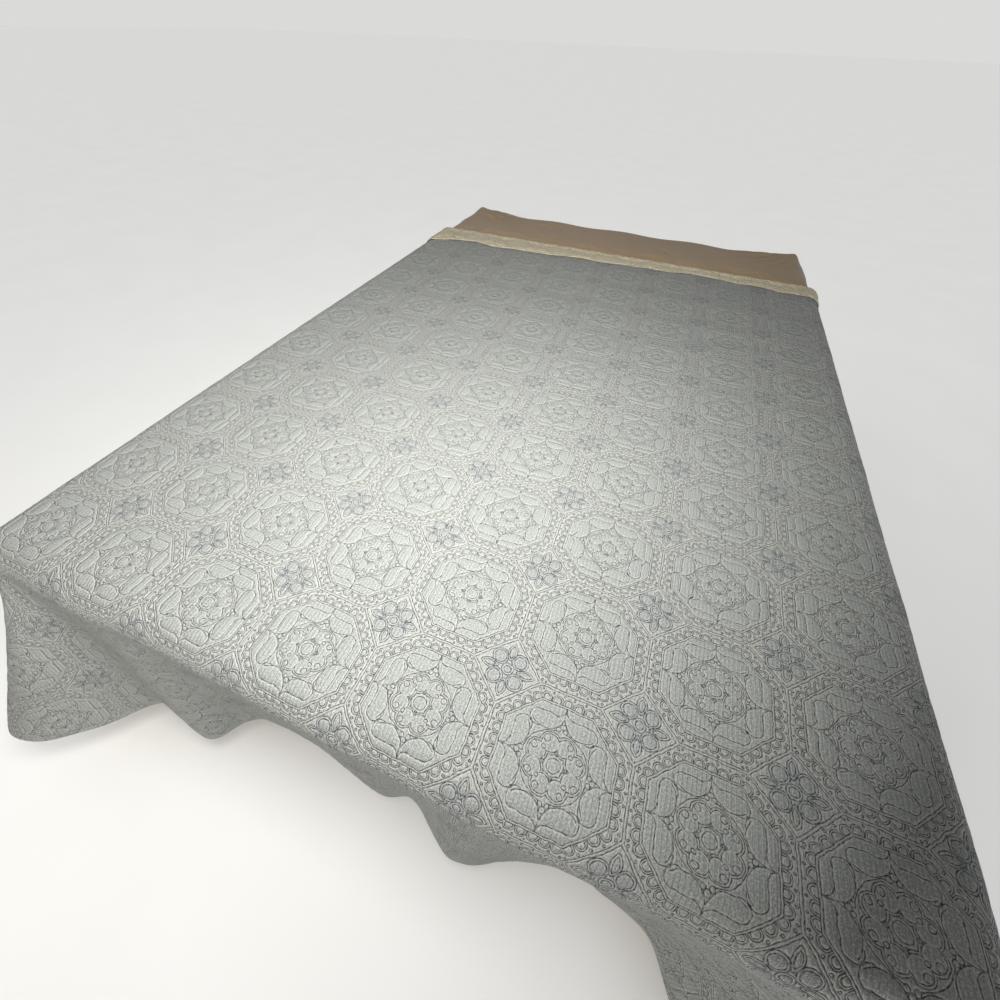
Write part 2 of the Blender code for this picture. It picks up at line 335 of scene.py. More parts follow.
def over_the_edge(apex, direction, flat, depth):
    """The cloth beyond the flat top: apex is where it leaves the top, direction points out
    from there, flat is the place along the hem and depth the distance from the apex."""
    edge = apex + direction * ROLL
    reach = hem_at(flat) - edge
    length = np.linalg.norm(reach, axis=-1)
    rolled = np.clip(depth / ROLL_LENGTH, 0, 1)
    angle = rolled * math.pi / 2
    share = np.clip((depth - ROLL_LENGTH) / HANG_LENGTH, 0, 1)
    out = np.where(depth <= ROLL_LENGTH, EDGE_SHARE * smooth_step(rolled), opened(share))
    plan = apex + direction * (ROLL * np.sin(angle))[..., None] + reach * out[..., None]
    fall = np.zeros_like(share)
    for step in range(FALL_STEPS):
        start, end = share * step / FALL_STEPS, share * (step + 1) / FALL_STEPS
        sideways = length * (opened(end) - opened(start))
        along = HANG_LENGTH * (end - start)
        fall += np.sqrt(np.maximum(along**2 - sideways**2, 0))
    height = CLOTH_TOP - ROLL * (1 - np.cos(angle)) - fall
    return np.concatenate([plan, height[..., None]], -1)


# The lie of the cloth on the bed: soft ridges (+) and troughs (-) in it, each along a line.
#      from x,   y,     to x,    y,    half width, height
LIES = (
    (-0.30, -0.93, -0.42, -0.30, 0.075, 0.0030),
    (0.30, -0.95, 0.12, -0.45, 0.060, 0.0034),
    (0.47, -0.99, 0.36, -0.52, 0.055, -0.0036),
    (0.62, -0.96, 0.50, -0.30, 0.060, 0.0032),
    (-0.05, -0.95, -0.10, -0.62, 0.050, -0.0022),
    (-0.58, -0.80, -0.60, 0.10, 0.060, 0.0022),
    (-0.40, 0.05, 0.15, 0.20, 0.080, 0.0022),
    (0.00, -0.28, 0.40, -0.20, 0.070, -0.0022),
    (0.22, 0.08, 0.60, 0.16, 0.045, 0.0024),
    (0.30, 0.22, 0.62, 0.27, 0.040, 0.0026),
    (0.28, 0.15, 0.62, 0.21, 0.030, -0.0022),
    (-0.60, 0.40, 0.10, 0.47, 0.060, 0.0018),
    (0.15, 0.36, 0.60, 0.42, 0.045, 0.0022),
)
LIE_LEVEL = 0.0040  # the cloth's usual height over its lowest rest, which nothing goes below
LIE_SWELL = 0.0012 * math.sqrt(0.5)  # of the slow waves all over it
LIE_END = TURN_Y + 0.02  # where all this has died out, towards the head
LIE_MARGIN = 0.10  # over which it does


def lie(x, y):
    """How far the cloth stands off its lowest rest on the bed."""
    swell = np.sin(5.3 * x + 2.1 * y + 0.6) * np.sin(3.1 * y - 1.7 * x)
    height = LIE_LEVEL + LIE_SWELL * swell
    for x0, y0, x1, y1, half_width, rise in LIES:
        run = np.array((x1 - x0, y1 - y0))
        share = ((x - x0) * run[0] + (y - y0) * run[1]) / (run @ run)
        held = np.clip(share, 0, 1)
        off = np.hypot(x - x0 - held * run[0], y - y0 - held * run[1]) / half_width
        fade = smooth_step(1.15 - np.abs(share - 0.5) * 1.5)  # past both ends of its line
        height = height + rise * fade * np.exp(-off * off)
    return np.maximum(height, 0.0) * smooth_step((LIE_END - y) / LIE_MARGIN)


# What the weave does to the sheet: the repeat of its figure, an octagon with a smaller
# square cell between each four, and how far the figure's parts swell.
REPEAT_X = 0.167
REPEAT_Y = 0.151
FLOWER_X = -0.005  # a square cell's middle, across
FLOWER_Y = -0.0465 + FLAT_Y  # and along
SQUARE_REPEAT = 0.159  # the figure is drawn on a square of this side
SLANT_SHIFT = 0.0022  # the octagon's slanting sides lie this much further out than straight ones
STEPS_IN_REPEAT = 20  # of the mesh


def eighth(x, y):
    """A place in the repeat folded into one eighth of an octagon: along and off its axis."""
    a = (x - FLOWER_X) / REPEAT_X
    b = (y - FLOWER_Y) / REPEAT_Y
    a = np.abs(a - np.floor(a) - 0.5) * SQUARE_REPEAT
    b = np.abs(b - np.floor(b) - 0.5) * SQUARE_REPEAT
    return np.maximum(a, b), np.minimum(a, b)


# The relief that the mesh carries, in shares of a full puff: the ground's level, the round
# puffs on it, and the hollows that run round the octagon or round its middle.
GROUND_LEVEL = 0.55
#    along,  off,    radius, share
PUFFS = (
    (0.0475, 0.0220, 0.0110, 0.45),  # a leaf
    (0.0206, 0.0086, 0.0090, 0.30),  # a petal
)
#    from the middle, half width, share
OCTAGON_HOLLOWS = ((0.0636, 0.0050, 0.45), (0.0795, 0.0050, 0.45))
RING_HOLLOW = (0.0340, 0.0045, 0.30)


def relief(x, y):
    """The woven relief at a place on the flat cloth, from 0 in a groove to 1 on a puff."""
    a, b = eighth(x, y)
    out = np.maximum(a, (a + b) / math.sqrt(2) - SLANT_SHIFT)
    height = np.full(a.shape, GROUND_LEVEL)
    for along, off, radius, share in PUFFS:
        height += share * np.exp(-(((a - along) ** 2 + (b - off) ** 2) / radius**2))
    for middle, half_width, share in OCTAGON_HOLLOWS:
        height -= share * np.exp(-(((out - middle) / half_width) ** 2))
    middle, half_width, share = RING_HOLLOW
    return height - share * np.exp(-(((np.hypot(a, b) - middle) / half_width) ** 2))


def even_steps(start, end, first, step):
    """Places from start to end on the weave's own steps, in an even number of intervals. None
    but the ends lies within 0.4 of a step of an end."""
    count = np.arange(math.ceil((start - first) / step), math.floor((end - first) / step) + 1)
    places = first + count * step
    places = places[(places > start + 0.4 * step) & (places < end - 0.4 * step)]
    places = np.concatenate([[start], places, [end]])
    return places if len(places) % 2 else np.delete(places, 1)


ACROSS = even_steps(-FLAT_X, FLAT_X, FLOWER_X, REPEAT_X / STEPS_IN_REPEAT)
ALONG = even_steps(FLAT_Y, TURN_Y, FLOWER_Y, REPEAT_Y / STEPS_IN_REPEAT)
DEPTH_STEPS = 50
CORNER_STEPS = 84
TURN_STEPS = 6
CUFF_STEPS = 14
DEPTHS = np.linspace(0, OVER, DEPTH_STEPS + 1)[1:]

points, flats = [], []  # the middle of the cloth, and its place on the flat cloth


def add_points(where, flat):
    """Adds a row of points and returns their numbers."""
    first = sum(len(run) for run in points)
    points.append(np.asarray(where, float).reshape(-1, 3))
    flats.append(np.asarray(flat, float).reshape(-1, 2))
    return first + np.arange(len(points[-1]))


# The sheet on the bed.
x, y = np.meshgrid(ACROSS, ALONG)
top = add_points(
    np.stack([x, y, CLOTH_TOP + lie(x, y)], -1), np.stack([x, y], -1)
).reshape(x.shape)

# The hanging part: down one side, round a corner, along the foot, round and up again. Each of
# its columns has an apex, where it leaves the flat top, and from there a way out, a place along
# the hem of the flat cloth, and the number of its point on the top.
turns = np.linspace(0, math.pi / 2, CORNER_STEPS + 1)[1:-1]
corner_ways = np.stack([np.cos(turns), -np.sin(turns)], -1)
apexes = np.concatenate(
    [
        np.stack([np.full(len(ALONG), -FLAT_X), ALONG[::-1]], -1),
        np.tile([-FLAT_X, FLAT_Y], (len(turns), 1)),
        np.stack([ACROSS, np.full(len(ACROSS), FLAT_Y)], -1),
        np.tile([FLAT_X, FLAT_Y], (len(turns), 1)),
        np.stack([np.full(len(ALONG), FLAT_X), ALONG], -1),
    ]
)
ways = np.concatenate(
    [
        np.tile([-1.0, 0.0], (len(ALONG), 1)),
        corner_ways * [-1, 1],
        np.tile([0.0, -1.0], (len(ACROSS), 1)),
        corner_ways[::-1],
        np.tile([1.0, 0.0], (len(ALONG), 1)),
    ]
)
hem_flats = np.concatenate(
    [
        TURN_Y - ALONG[::-1],
        FLAT_SIDE + turns * OVER,
        FLAT_HEM / 2 + ACROSS,
        FLAT_HEM - (FLAT_SIDE + turns[::-1] * OVER),
        FLAT_HEM - (TURN_Y - ALONG),
    ]
)
hinge = np.concatenate(
    [
        top[::-1, 0],
        np.full(len(turns), top[0, 0]),
        top[0, :],
        np.full(len(turns), top[0, -1]),
        top[:, -1],
    ]
)

# Small uneven ripples of the hanging cloth: how many to a metre of hem, how far out, and
# where each starts. They grow and lean towards the hem and only ever stand outwards.
#    waves, height, start
RIPPLES = (
    (2.3, 0.0040, 0.4),
    (4.1, 0.0030, 2.1),
    (7.3, 0.0018, 4.0),
    (12.7, 0.0011, 1.2),
)
RIPPLE_LEAN = 0.9  # the most that one leans along the hem, by its depth


def rippled(apexes, ways, hem_flats, depth):
    """A row of the cloth beyond the flat top, with the lie of the top running out over its
    roll and with its ripples: as for over_the_edge, each place with its own apex."""
    where = over_the_edge(apexes, ways, hem_flats, depth)
    where[:, 2] += lie(apexes[:, 0], apexes[:, 1]) * (1 - smooth_step(depth / ROLL_LENGTH))
    out = np.zeros(len(depth))
    for waves, height, start in RIPPLES:
        lean = RIPPLE_LEAN * math.sin(3 * start) * depth
        out += height * (0.5 + 0.5 * np.sin(2 * math.pi * waves * (hem_flats + lean) + start))
    where[:, :2] += ways * (out * smooth_step(depth / OVER))[:, None]
    return where


strip = [hinge]
for depth in DEPTHS:
    where = rippled(apexes, ways, hem_flats, np.full(len(apexes), depth))
    strip.append(add_points(where, apexes + ways * depth))
strip = np.array(strip)

# The turn at the head end and the cuff that lies back on the cloth.
head_row = np.concatenate([strip[:0:-1, 0], top[-1, :], strip[1:, -1]])
head_flat = np.concatenate([-FLAT_X - DEPTHS[::-1], ACROSS, FLAT_X + DEPTHS])
SIDE_STEP = 0.004  # lengthways, to either side of a place whose slope is read
HEM_FLATTENS = 0.014  # the relief dies out over this much cloth at the hem
CUFF_LIFT = 0.0052  # the middle of the cuff lies this far off the middle of the cloth below
CUFF_SETTLES = 0.018  # and comes down to it over this much cloth from the turn
CUFF_RIPPLE = 0.0012  # the height of slow ripples along it
HEM_SINKS = 0.0018  # the cuff's thinner edge lies this much lower
REACH_STEPS = 48
# The cuff's edge is a little wavy: how many waves to a metre, how high, where each starts.
CUFF_WAVES = ((2.4, 0.0070, 0.3), (4.9, 0.0046, 1.7), (9.1, 0.0020, 0.9))


def across_row(y):
    """The cloth right across, hem to hem, at this distance along the bed."""
    sign = np.sign(head_flat)
    apex = np.stack([np.clip(head_flat, -FLAT_X, FLAT_X), np.full(len(sign), y)], -1)
    way = np.stack([sign, np.zeros(len(sign))], -1)
    flat_hem = np.where(sign < 0, TURN_Y - y, FLAT_HEM - (TURN_Y - y))
    return rippled(apex, way, flat_hem, np.maximum(np.abs(head_flat) - FLAT_X, 0))


def outward(y):
    """The way the face points, right across the cloth at this distance along the bed."""
    sideways = np.gradient(across_row(y), axis=0)
    lengthways = across_row(y + SIDE_STEP) - across_row(y - SIDE_STEP)
    way = np.cross(sideways, lengthways)
    return way / np.linalg.norm(way, axis=1, keepdims=True)


cuff = [head_row]
at_turn, way_at_turn = across_row(TURN_Y), outward(TURN_Y)
for step in range(1, TURN_STEPS + 1):
    angle = math.pi * step / TURN_STEPS
    where = at_turn + way_at_turn * TURN_RADIUS * (1 - math.cos(angle))
    where[:, 1] += TURN_RADIUS * math.sin(angle)
    along = np.full(len(head_flat), TURN_Y + TURN_RADIUS * angle)
    cuff.append(add_points(where, np.stack([head_flat, along], -1)))
cuff_width = np.interp(head_flat, *zip(*CUFF_WIDTHS))
for waves, height, start in CUFF_WAVES:
    cuff_width = cuff_width + height * np.sin(2 * math.pi * waves * head_flat + start)
# The cloth under the cuff, and the way it faces, at even reaches back from the turn.
REACHES = np.linspace(0, float(cuff_width.max()), REACH_STEPS)
lain = np.array([across_row(TURN_Y - reach) for reach in REACHES])
risen = np.array([outward(TURN_Y - reach) for reach in REACHES])
for step in range(1, CUFF_STEPS + 1):
    back = cuff_width * step / CUFF_STEPS
    settled = smooth_step(back / CUFF_SETTLES)
    lift = 2 * TURN_RADIUS + (CUFF_LIFT - 2 * TURN_RADIUS) * settled
    lift = lift + CUFF_RIPPLE * np.sin(27 * head_flat + 1.1) ** 2 * settled
    lift = lift - HEM_SINKS * smooth_step((back - cuff_width) / HEM_FLATTENS + 1)
    where = np.empty((len(head_flat), 3))
    for column in range(len(head_flat)):
        for i in range(3):
            base = np.interp(back[column], REACHES, lain[:, column, i])
            rise = np.interp(back[column], REACHES, risen[:, column, i])
            where[column, i] = base + rise * lift[column]
    along = TURN_Y + TURN_LENGTH + back
    cuff.append(add_points(where, np.stack([head_flat, along], -1)))
cuff = np.array(cuff)

middle = np.vstack(points)
flat_place = np.vstack(flats)


def cells(grid):
    """The four-sided cells of a grid of point numbers, its rows upwards."""
    corners = (grid[:-1, :-1], grid[:-1, 1:], grid[1:, 1:], grid[1:, :-1])
    return np.stack(corners, -1).reshape(-1, 4)


def coarse_cells(grid, fine_sides):
    """Cells of twice the size, with their middle points kept along the grid's fine sides."""
    rows, columns = grid.shape
    for i in range(0, rows - 1, 2):
        for j in range(0, columns - 1, 2):
            corners = [grid[i, j]]
            if i == 0 and "first row" in fine_sides:
                corners.append(grid[i, j + 1])
            corners.append(grid[i, j + 2])
            if j + 3 == columns and "last column" in fine_sides:
                corners.append(grid[i + 1, j + 2])
            corners.append(grid[i + 2, j + 2])
            if i + 3 == rows and "last row" in fine_sides:
                corners.append(grid[i + 2, j + 1])
            corners.append(grid[i + 2, j])
            if j == 0 and "first column" in fine_sides:
                corners.append(grid[i + 1, j])
            yield corners


upwards = strip[::-1]  # the hanging part from its hem up
face_cells = np.vstack([cells(top), cells(upwards), cells(cuff)])
span = middle[face_cells]
cell_normals = np.cross(span[:, 2] - span[:, 0], span[:, 3] - span[:, 1])
normal = np.zeros_like(middle)
for corner in range(4):
    np.add.at(normal, face_cells[:, corner], cell_normals)
normal /= np.linalg.norm(normal, axis=1, keepdims=True)

GROOVE_HALF = 0.0010  # half the cloth's thickness in a groove
HEM_SHARE = 0.55  # of that, at the knife edge
PUFF = 0.0012  # how far the face swells between the grooves
REVERSE_PUFF = 0.0006
EDGE_BULGE = 0.0012

flat_x, flat_y = flat_place.T
depth = np.hypot(np.maximum(np.abs(flat_x) - FLAT_X, 0), np.maximum(FLAT_Y - flat_y, 0))
cuff_end = TURN_Y + TURN_LENGTH + np.interp(flat_x, head_flat, cuff_width)
to_hem = np.minimum(OVER - depth, cuff_end - flat_y)
fullness = smooth_step(to_hem / HEM_FLATTENS)
swelling = relief(flat_x, flat_y) * fullness
half = GROOVE_HALF * (HEM_SHARE + (1 - HEM_SHARE) * fullness)
face_places = middle + normal * (half + PUFF * swelling)[:, None]
reverse_places = middle - normal * (half + REVERSE_PUFF * swelling)[:, None]

mesh = bmesh.new()
place_on_flat = {}
FACE, REVERSE = 0, 1


def add_vert(where, number):
    """A vertex here, which remembers its numbered point's place on the flat cloth."""
    vert = mesh.verts.new(where)
    place_on_flat[vert] = flat_place[number]
    return vert


def add_cell(verts, material):
    """A cell, without the doubled points that it has where a corner comes together."""
    kept = [vert for i, vert in enumerate(verts) if vert is not verts[i - 1]]
    cell = mesh.faces.new(kept)
    cell.material_index = material
    cell.smooth = True


on_face = [add_vert(where, number) for number, where in enumerate(face_places)]
for corners in face_cells:
    add_cell([on_face[n] for n in corners], FACE)
# The reverse is meshed half as finely where it is hidden, and as finely where it shows.
on_reverse = {}
reverse_cells = list(coarse_cells(top, ("last row",)))
reverse_cells += coarse_cells(upwards, ("first row", "first column", "last column"))
reverse_cells += list(cells(cuff))
for corners in reverse_cells:
    for n in corners:
        if n not in on_reverse:
            on_reverse[n] = add_vert(reverse_places[n], n)
    add_cell([on_reverse[n] for n in corners][::-1], REVERSE)

# The knife edge all round, where the face and the reverse are woven together.
rim = np.concatenate([strip[-1], cuff[1:, -1], cuff[-1, -2::-1], cuff[-2:0:-1, 0]])
along_rim = middle[np.roll(rim, -1)] - middle[np.roll(rim, 1)]
beyond = np.cross(along_rim, normal[rim])
beyond /= np.linalg.norm(beyond, axis=1, keepdims=True)
edge = [add_vert(where, n) for where, n in zip(middle[rim] + beyond * EDGE_BULGE, rim)]
for i in range(len(rim)):
    a, b = rim[i - 1], rim[i]
    add_cell([on_face[b], on_face[a], edge[i - 1], edge[i]], FACE)
    add_cell([on_reverse[a], on_reverse[b], edge[i], edge[i - 1]], REVERSE)

flat_map = mesh.loops.layers.uv.new("flat cloth")
for cell in mesh.faces:
    for loop in cell.loops:
        loop[flat_map].uv = place_on_flat[loop.vert]
data = bpy.data.meshes.new("coverlet_cloth")
mesh.to_mesh(data)
mesh.free()
coverlet = bpy.data.objects.new("coverlet_cloth", data)
bpy.context.collection.objects.link(coverlet)

# The woven figure, drawn with a compass on a square of 159 mm. Millimetres from an
# octagon's middle, in one eighth of it: along the axis, off it, and the radius. A cut keeps
# the part of an arc where along * its first number + off * its second is under its third.
CUT_NONE = (0, 0, 0)
#    part,                   along,  off,   radius, cut
OCTAGON_ARCS = (
    ("centre",               0.0,    0.0,   7.5,    CUT_NONE),
    ("petal",                20.6,   8.6,   11.8,   (-1, -0.4, -10.5)),
    ("petal within",         20.6,   8.6,   9.5,    (-1, -0.4, -12.5)),
    ("curl of the petal",    24.4,   13.0,  3.3,    (0.7, 0.7, 27.9)),
    ("bead between petals",  14.8,   14.8,  2.2,    CUT_NONE),
    ("bead at the centre",   12.2,   0.0,   1.9,    CUT_NONE),
    ("ring",                 0.0,    0.0,   36.0,   (0, -1, -6.0)),
    ("crest",                41.5,   0.0,   2.9,    CUT_NONE),
    ("side of the crest",    37.6,   3.9,   2.5,    CUT_NONE),
    ("end of a leaf",        42.4,   28.6,  9.6,    (0, -1, -26.0)),
    ("back of a leaf",       2.0,    18.3,  50.0,   (-1, 0, -51.2)),
    ("tip of a leaf",        61.5,   9.8,   9.5,    (1, 1, 62.2)),
    ("belly of a leaf",      54.2,   20.5,  20.6,   (1, 0.35, 50.5)),
    ("between two leaves",   56.0,   -30.0, 30.0,   CUT_NONE),
    ("where leaves meet",    35.6,   35.6,  1.1,    CUT_NONE),
)
# Lines that run round the octagon, by their distance from its middle.
OCTAGON_LINES = (62.3, 64.8, 78.0, 81.0)
# The arcade between them: pairs of arches that stand on the inner line.
ARCH_FOOT = 65.0
ARCH_SPRING = 67.6
ARCH_RADII = (5.9, 3.9)
ARCH_TOP = 78.0
ARCH_PITCH_FLAT, ARCH_PITCH_SLANT = 12.6, 13.4
BEAD_AT, BEAD_RADIUS = 75.2, 1.3
# In a square cell, from its middle.
FLOWER_ARCS = (
    ("eye",                  0.0,    0.0,   7.6,    CUT_NONE),
    ("eye within",           0.0,    0.0,   4.6,    CUT_NONE),
    ("petal",                12.9,   12.9,  10.2,   (-1, -1, -12.5)),
    ("petal within",         12.9,   12.9,  7.6,    (-1, -1, -14.0)),
    ("bud",                  23.0,   -8.8,  14.6,   (-1, 0, -11.5)),
    ("bud within",           23.0,   -8.8,  12.0,   (-1, 0, -14.0)),
)
NETTED = ("eye within", "petal within", "bud within")
NET_PITCH = 3.2
NET_THREAD = (0.2, 0.3, 0.25)  # its half width, that of a gap, and how much shows in a gap
NET_EDGE = (0.2, -0.6)  # the net fades in from just outside a netted part to just inside it
FLOWER_REACH = (33.0, 22.0)  # from the flower's middle: where its thread begins, and is full
BORDER_FADES = 2.0  # the border's paler ground fades out over this, inside the octagon
HALF_REPEAT = 1000 * SQUARE_REPEAT / 2


def woven_figure():
    """The figure as a node group. From a place on the flat cloth, in metres, it gives: the
    distance in millimetres from the nearest woven groove, how near the place is to a flower,
    how much of the flower's net shows there, and whether it is outside the octagon."""
    group = bpy.data.node_groups.new("woven figure", "ShaderNodeTree")
    group.interface.new_socket("Place", in_out="INPUT", socket_type="NodeSocketVector")
    for name in ("Groove", "Flower", "Net", "Border"):
        group.interface.new_socket(name, in_out="OUTPUT", socket_type="NodeSocketFloat")

    def within(place, along, off, radius):
        """How far outside a circle the place is, and less than nothing inside it."""
        away = node(group, "VectorMath", (place, (along, off, 0)), "Value", operation="DISTANCE")
        return node(group, "Math", (away, radius), operation="SUBTRACT")

    def arc(place, along, off, radius, cut):
        """How far the place is from an arc."""
        away = node(group, "Math", [within(place, along, off, radius)], operation="ABSOLUTE")
        if cut == CUT_NONE:
            return away
        side = node(
            group, "VectorMath", (place, (cut[0], cut[1], 0)), "Value", operation="DOT_PRODUCT"
        )
        beyond = node(group, "Math", (side, cut[2]), operation="SUBTRACT")
        return node(group, "Math", (away, beyond), operation="MAXIMUM")

    # Fold the cloth into one eighth of an octagon.
    cell = group.nodes.new("NodeGroupInput").outputs[0]
    for operation, by in (
        ("SUBTRACT", (FLOWER_X, FLOWER_Y, 0)),
        ("DIVIDE", (REPEAT_X, REPEAT_Y, 1)),
        ("FRACTION", (0, 0, 0)),
        ("SUBTRACT", (0.5, 0.5, 0)),
        ("ABSOLUTE", (0, 0, 0)),
        ("MULTIPLY", (2 * HALF_REPEAT, 2 * HALF_REPEAT, 0)),
    ):
        cell = node(group, "VectorMath", (cell, by), operation=operation)
    across = node(group, "SeparateXYZ", [cell], "X")
    upwards = node(group, "SeparateXYZ", [cell], "Y")
    along = node(group, "Math", (across, upwards), operation="MAXIMUM")
    off = node(group, "Math", (across, upwards), operation="MINIMUM")
    place = node(group, "CombineXYZ", (along, off))
    lines = [arc(place, *sizes) for _, *sizes in OCTAGON_ARCS]

    # The straight lines round the octagon, on its flat sides or its slanting ones.
    half_turned = math.sqrt(0.5)
    slant = node(
        group, "VectorMath", (place, (half_turned, half_turned, 0)), "Value",
        operation="DOT_PRODUCT",
    )
    slant = node(group, "Math", (slant, 1000 * SLANT_SHIFT), operation="SUBTRACT")
    out = node(group, "Math", (along, slant), operation="MAXIMUM")
    for line in OCTAGON_LINES:
        away = node(group, "Math", (out, line), operation="SUBTRACT")
        lines.append(node(group, "Math", [away], operation="ABSOLUTE"))

    # The arcade: how far to the side of the nearest arch's middle.
    from_flat = node(group, "Math", (off, ARCH_PITCH_FLAT / 2), operation="PINGPONG")
    run = node(
        group, "VectorMath", (place, (half_turned, -half_turned, 0)), "Value",
        operation="DOT_PRODUCT",
    )
    run = node(group, "Math", (run, ARCH_PITCH_SLANT / 2), operation="ADD")
    from_slant = node(group, "Math", (run, ARCH_PITCH_SLANT / 2), operation="PINGPONG")
    on_slant = node(group, "Math", (slant, along), operation="GREATER_THAN")
    sideways = node(group, "Mix", {0: on_slant, 2: from_flat, 3: from_slant}, data_type="FLOAT")
    above = node(group, "Math", (out, ARCH_SPRING), operation="SUBTRACT")
    above = node(group, "Math", (above, 0.0), operation="MAXIMUM")
    in_arch = node(group, "CombineXYZ", (sideways, above))
    below_foot = node(group, "Math", (ARCH_FOOT, out), operation="SUBTRACT")
    over_top = node(group, "Math", (out, ARCH_TOP), operation="SUBTRACT")
    outside = node(group, "Math", (below_foot, over_top), operation="MAXIMUM")
    for radius in ARCH_RADII:
        away = arc(in_arch, 0.0, 0.0, radius, CUT_NONE)
        lines.append(node(group, "Math", (away, outside), operation="MAXIMUM"))
    by_bead = node(group, "CombineXYZ", (sideways, out))
    lines.append(arc(by_bead, ARCH_PITCH_SLANT / 2, BEAD_AT, BEAD_RADIUS, CUT_NONE))

    # The border and the square cell, which is all that lies outside the octagon's own line.
    inner, next_to_inner, *_ = OCTAGON_LINES
    border = node(group, "MapRange", (out, inner - BORDER_FADES, next_to_inner, 0.0, 1.0))

    # The flower in the square cell, and the net inside its eye, petals and buds.
    from_side = node(group, "Math", (HALF_REPEAT, off), operation="SUBTRACT")
    from_end = node(group, "Math", (HALF_REPEAT, along), operation="SUBTRACT")
    flower_place = node(group, "CombineXYZ", (from_side, from_end))
    netted = None
    for part, *sizes in FLOWER_ARCS:
        lines.append(arc(flower_place, *sizes))
        if part in NETTED:
            inside = within(flower_place, *sizes[:3])
            netted = inside if netted is None else node(
                group, "Math", (netted, inside), operation="MINIMUM"
            )
    length = node(group, "VectorMath", [flower_place], "Value", operation="LENGTH")
    flower = node(group, "MapRange", (length, *FLOWER_REACH, 0.0, 1.0))
    net = node(group, "MapRange", (netted, *NET_EDGE, 0.0, 1.0))
    half_thread, half_gap, in_gap = NET_THREAD
    for way in ((1, 1, 0), (1, -1, 0)):
        thread = node(group, "VectorMath", (flower_place, way), "Value", operation="DOT_PRODUCT")
        thread = node(group, "Math", (thread, NET_PITCH / 2), operation="PINGPONG")
        thread = node(
            group, "MapRange", (thread, half_gap, NET_PITCH / 2 - half_thread, in_gap, 1.0)
        )
        net = node(group, "Math", (net, thread), operation="MULTIPLY")

    groove = lines[0]
    for line in lines[1:]:
        groove = node(group, "Math", (groove, line), operation="MINIMUM")
    end = group.nodes.new("NodeGroupOutput")
    for i, value in enumerate((groove, flower, net, border)):
        group.links.new(value, end.inputs[i])
    return group


figure = woven_figure()


# What the weave is made of. Rises are in metres; a share is of the way from the ground's
# colour to the paler colour, which also paints the highlight on the puffs' rims. Threads are
# 0.5 mm apart, but they are drawn at about 2 mm, so that they show at all.
WANDER = 0.0036  # by up to about a quarter of this the weave's unevenness moves each line
FLOWER_HEAVIER = 0.30  # a flower is woven with heavier thread: the share that it widens a line
LINE_CORE = 0.2  # the share of a line's width that is tinted all over
PUFF_RISES_OVER = 2.0  # mm from a groove
# Painted highlight: the ground is painted paler along the rims of the puffs, next to each groove.
RIM_HIGHLIGHT_WITHIN = (2.6, 0.9)  # mm from a groove: where the pale rim begins, and is full
RIM_HIGHLIGHT_SHARES = (0.02, 0.60)
# Ribs of the wadding, 5.2 mm and 2.6 mm apart. Each is painted paler along its raised crest: a
# painted highlight.
#    scale, waviness, rise, share of painted highlight
RIBS = (
    (60.0, 3.0, 0.00060, 0.26),
    (121.0, 2.0, 0.00030, 0.20),
)
THREAD_RISE, THREAD_SHARES = 0.00070, (-0.52, 0.42)
NET_SINKS, NET_TINT = 0.0004, 0.30
CLOUD_SHARE = 0.16
BORDER_SHARE = 0.12
# Painted highlight on the raised puckers and painted shade in their hollows.
PUCKER_HIGHLIGHT_AND_SHADE = 300  # for each metre that the puckers rise


